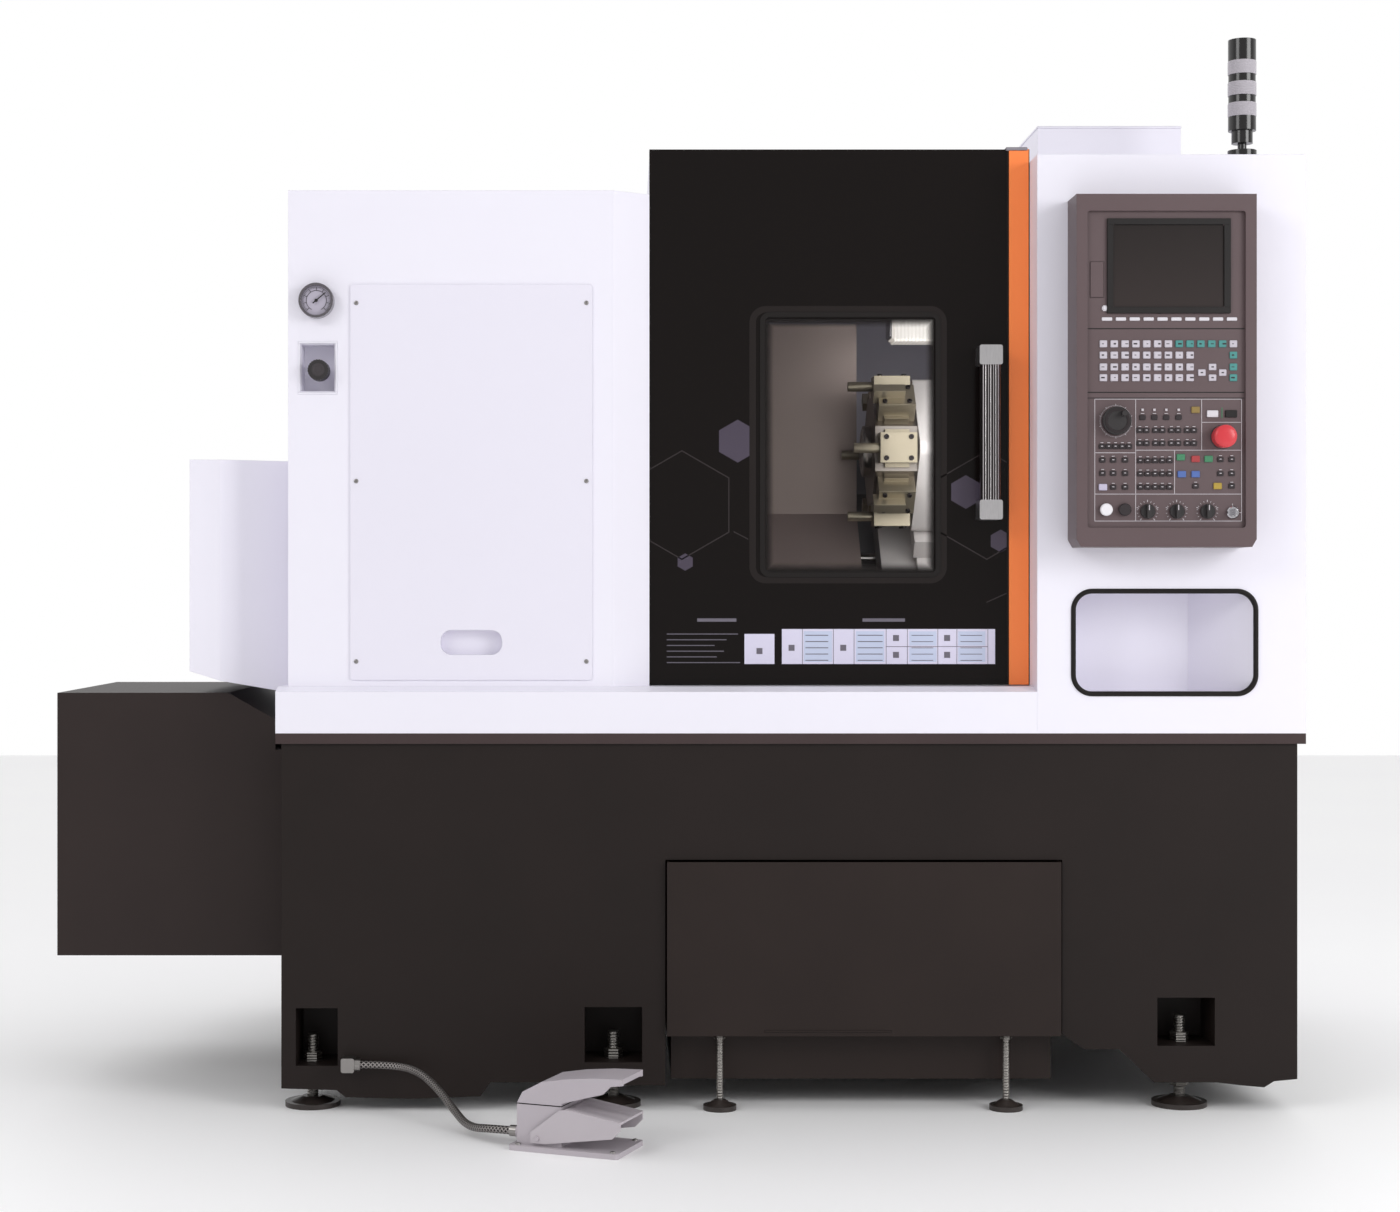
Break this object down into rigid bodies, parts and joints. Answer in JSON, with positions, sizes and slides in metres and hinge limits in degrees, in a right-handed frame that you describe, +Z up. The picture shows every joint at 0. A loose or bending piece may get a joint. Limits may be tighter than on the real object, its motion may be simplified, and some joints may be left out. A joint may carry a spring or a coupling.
{
  "type": "cnc turning lathe",
  "caption": "Slant-bed turning lathe with a sliding door, control panel, storage pocket, coolant tank, signal tower and foot pedal.",
  "frame": {"origin": "bottom centre of the whole lathe's box, measured without the pedal's hose", "axes": "+X to the operator's right along the spindle, +Y into the machine from the operator's side, +Z up"},
  "size_m": [2.288, 1.7068, 1.9435],
  "materials": {
    "black_paint": "satin textured black powder coat",
    "rail_paint": "satin dark brown-grey enamel",
    "white_paint": "semi-gloss cool white powder coat",
    "grey_paint": "satin grey enamel",
    "door_black": "high gloss black",
    "orange_paint": "semi-gloss orange",
    "window_glass": "laminated safety glass",
    "handle_alu": "brushed end blocks, black anodised grip",
    "castings": "painted and ground castings",
    "machined_steel": "turned and ground",
    "cover_steel": "folded stainless sheet",
    "feet_steel": "blackened pads and zinc-plated studs",
    "belt_rubber": "ribbed",
    "motor_paint": "matt black",
    "panel_grey": "textured dark grey",
    "fascia_grey": "printed membrane fascia",
    "black_plastic": "moulded black",
    "key_chrome": "nickel plated",
    "red_plastic": "moulded red",
    "white_plastic": "moulded white",
    "tower_plastic": "black body, clear lenses",
    "regulator_plastic": "moulded light grey",
    "pedal_paint": "pinkish grey hammer enamel",
    "hose_braid": "woven steel braid",
    "gland_metal": "nickel plated brass"
  },
  "bodies": {
    "root": {"base_frame": "black_paint", "base_trim_rail": "rail_paint", "front_band": "white_paint", "levelling_feet": "feet_steel", "coolant_tank": "black_paint", "slant_bed": "castings", "headstock": "castings", "spindle_bearings": "machined_steel", "spindle_motor": "motor_paint", "drive_belt": "belt_rubber", "saddle_motor": "motor_paint", "way_cover_fixed": "cover_steel", "chamber_bulkhead": "grey_paint", "left_cabinet": "white_paint", "access_panel": "white_paint", "right_cabinet": "white_paint", "pocket_tray": "white_paint", "chamber_roof": "white_paint", "door_rail_beam": "grey_paint", "rear_cabinet": "white_paint", "side_housing": "black_paint", "spindle_guard": "white_paint", "roof_box": "white_paint", "panel_housing": "panel_grey", "panel_fascia": "fascia_grey", "signal_tower": "tower_plastic", "pressure_gauge": "key_chrome", "regulator_body": "regulator_plastic", "hose_gland": "gland_metal", "pedal_hose": "hose_braid", "pedal_body": "pedal_paint"},
    "door": {"door_leaf": "door_black", "door_window": "window_glass", "door_edge_trim": "orange_paint", "door_handle": "handle_alu"},
    "spindle": {"spindle": "machined_steel", "chuck_body": "machined_steel", "rotary_cylinder": "machined_steel"},
    "jaw_1": {"chuck_jaw_1": "machined_steel"},
    "jaw_2": {"chuck_jaw_2": "machined_steel"},
    "jaw_3": {"chuck_jaw_3": "machined_steel"},
    "motor_pulley": {"motor_pulley": "machined_steel"},
    "saddle_screw": {"saddle_screw": "machined_steel"},
    "saddle": {"saddle": "castings", "way_cover_moving": "cover_steel"},
    "cross_slide": {"turret_slide": "castings"},
    "turret": {"turret_disc": "machined_steel", "tool_holders": "machined_steel"},
    "rear_door": {"rear_cabinet_door": "white_paint"},
    "handwheel": {"handwheel": "black_plastic"},
    "stop_button": {"stop_button": "red_plastic"},
    "feed_knob": {"feed_knob": "black_plastic"},
    "spindle_knob": {"spindle_knob": "black_plastic"},
    "rapid_knob": {"rapid_knob": "black_plastic"},
    "key_switch": {"key_switch": "key_chrome"},
    "start_button": {"start_button": "white_plastic"},
    "hold_button": {"hold_button": "black_plastic"},
    "gauge_needle": {"gauge_needle": "black_plastic"},
    "regulator_knob": {"regulator_knob": "black_plastic"},
    "treadle": {"pedal_treadle": "pedal_paint"}
  },
  "joints": [
    {"name": "door_slide", "type": "slide", "parent": "root", "child": "door", "axis": [-1, 0, 0], "range_m": [0, 0.56]},
    {"name": "spindle_spin", "type": "hinge", "parent": "root", "child": "spindle", "pos_m": [-0.086, -0.1409, 1], "axis": [1, 0, 0], "continuous": true},
    {"name": "jaw_1_slide", "type": "slide", "parent": "spindle", "child": "jaw_1", "axis": [0, 0, 1], "range_m": [-0.005, 0.005]},
    {"name": "jaw_2_slide", "type": "slide", "parent": "spindle", "child": "jaw_2", "axis": [0, -0.866, -0.5], "range_m": [-0.005, 0.005]},
    {"name": "jaw_3_slide", "type": "slide", "parent": "spindle", "child": "jaw_3", "axis": [0, 0.866, -0.5], "range_m": [-0.005, 0.005]},
    {"name": "motor_pulley_spin", "type": "hinge", "parent": "root", "child": "motor_pulley", "pos_m": [-0.616, -0.2649, 0.775], "axis": [1, 0, 0], "continuous": true},
    {"name": "saddle_slide", "type": "slide", "parent": "root", "child": "saddle", "axis": [1, 0, 0], "range_m": [-0.125, 0.145]},
    {"name": "saddle_screw_spin", "type": "hinge", "parent": "root", "child": "saddle_screw", "pos_m": [0.214, 0.2678, 1.00849], "axis": [1, 0, 0], "continuous": true},
    {"name": "cross_slide_travel", "type": "slide", "parent": "saddle", "child": "cross_slide", "axis": [0, 0.7071, 0.7071], "range_m": [-0.15, 0.015]},
    {"name": "turret_index", "type": "hinge", "parent": "cross_slide", "child": "turret", "pos_m": [0.454, 0.08254, 1.22345], "axis": [1, 0, 0], "continuous": true},
    {"name": "rear_door_hinge", "type": "hinge", "parent": "root", "child": "rear_door", "pos_m": [-0.486, 0.8194, 1.17], "axis": [0, 0, 1], "range_deg": [0, 110]},
    {"name": "handwheel_spin", "type": "hinge", "parent": "root", "child": "handwheel", "pos_m": [0.7848, -0.5589, 1.241], "axis": [0, 1, 0], "continuous": true},
    {"name": "stop_button_press", "type": "slide", "parent": "root", "child": "stop_button", "axis": [0, 1, 0], "range_m": [0, 0.004], "stiffness_N_per_m": 2500, "springref_m": -0.001},
    {"name": "start_button_press", "type": "slide", "parent": "root", "child": "start_button", "axis": [0, 1, 0], "range_m": [0, 0.0025], "stiffness_N_per_m": 1200, "springref_m": -0.001},
    {"name": "hold_button_press", "type": "slide", "parent": "root", "child": "hold_button", "axis": [0, 1, 0], "range_m": [0, 0.0025], "stiffness_N_per_m": 1200, "springref_m": -0.001},
    {"name": "feed_knob_turn", "type": "hinge", "parent": "root", "child": "feed_knob", "pos_m": [0.841, -0.5589, 1.081], "axis": [0, 1, 0], "range_deg": [-120, 120]},
    {"name": "spindle_knob_turn", "type": "hinge", "parent": "root", "child": "spindle_knob", "pos_m": [0.8927, -0.5589, 1.081], "axis": [0, 1, 0], "range_deg": [-120, 120]},
    {"name": "rapid_knob_turn", "type": "hinge", "parent": "root", "child": "rapid_knob", "pos_m": [0.947, -0.5589, 1.081], "axis": [0, 1, 0], "range_deg": [-60, 60]},
    {"name": "key_turn", "type": "hinge", "parent": "root", "child": "key_switch", "pos_m": [0.9917, -0.5589, 1.079], "axis": [0, 1, 0], "range_deg": [0, 90]},
    {"name": "gauge_needle_turn", "type": "hinge", "parent": "root", "child": "gauge_needle", "pos_m": [-0.644, -0.4689, 1.466], "axis": [0, 1, 0], "range_deg": [-185, 85], "stiffness_Nm_per_rad": 0.01},
    {"name": "regulator_knob_turn", "type": "hinge", "parent": "root", "child": "regulator_knob", "pos_m": [-0.64, -0.4609, 1.34], "axis": [0, 1, 0], "range_deg": [-360, 360]},
    {"name": "treadle_press", "type": "hinge", "parent": "root", "child": "treadle", "pos_m": [-0.21344, -0.74413, 0.022], "axis": [0.3746, 0.9272, 0], "range_deg": [0, 7], "stiffness_Nm_per_rad": 8, "springref_deg": -6.88}
  ],
  "couplings": [
    {"joint": "motor_pulley_spin", "follows": "spindle_spin", "ratio": 1.3571},
    {"joint": "saddle_screw_spin", "follows": "saddle_slide", "rad_per_m": 628.32},
    {"joint": "jaw_2_slide", "follows": "jaw_1_slide", "ratio": 1},
    {"joint": "jaw_3_slide", "follows": "jaw_1_slide", "ratio": 1}
  ]
}
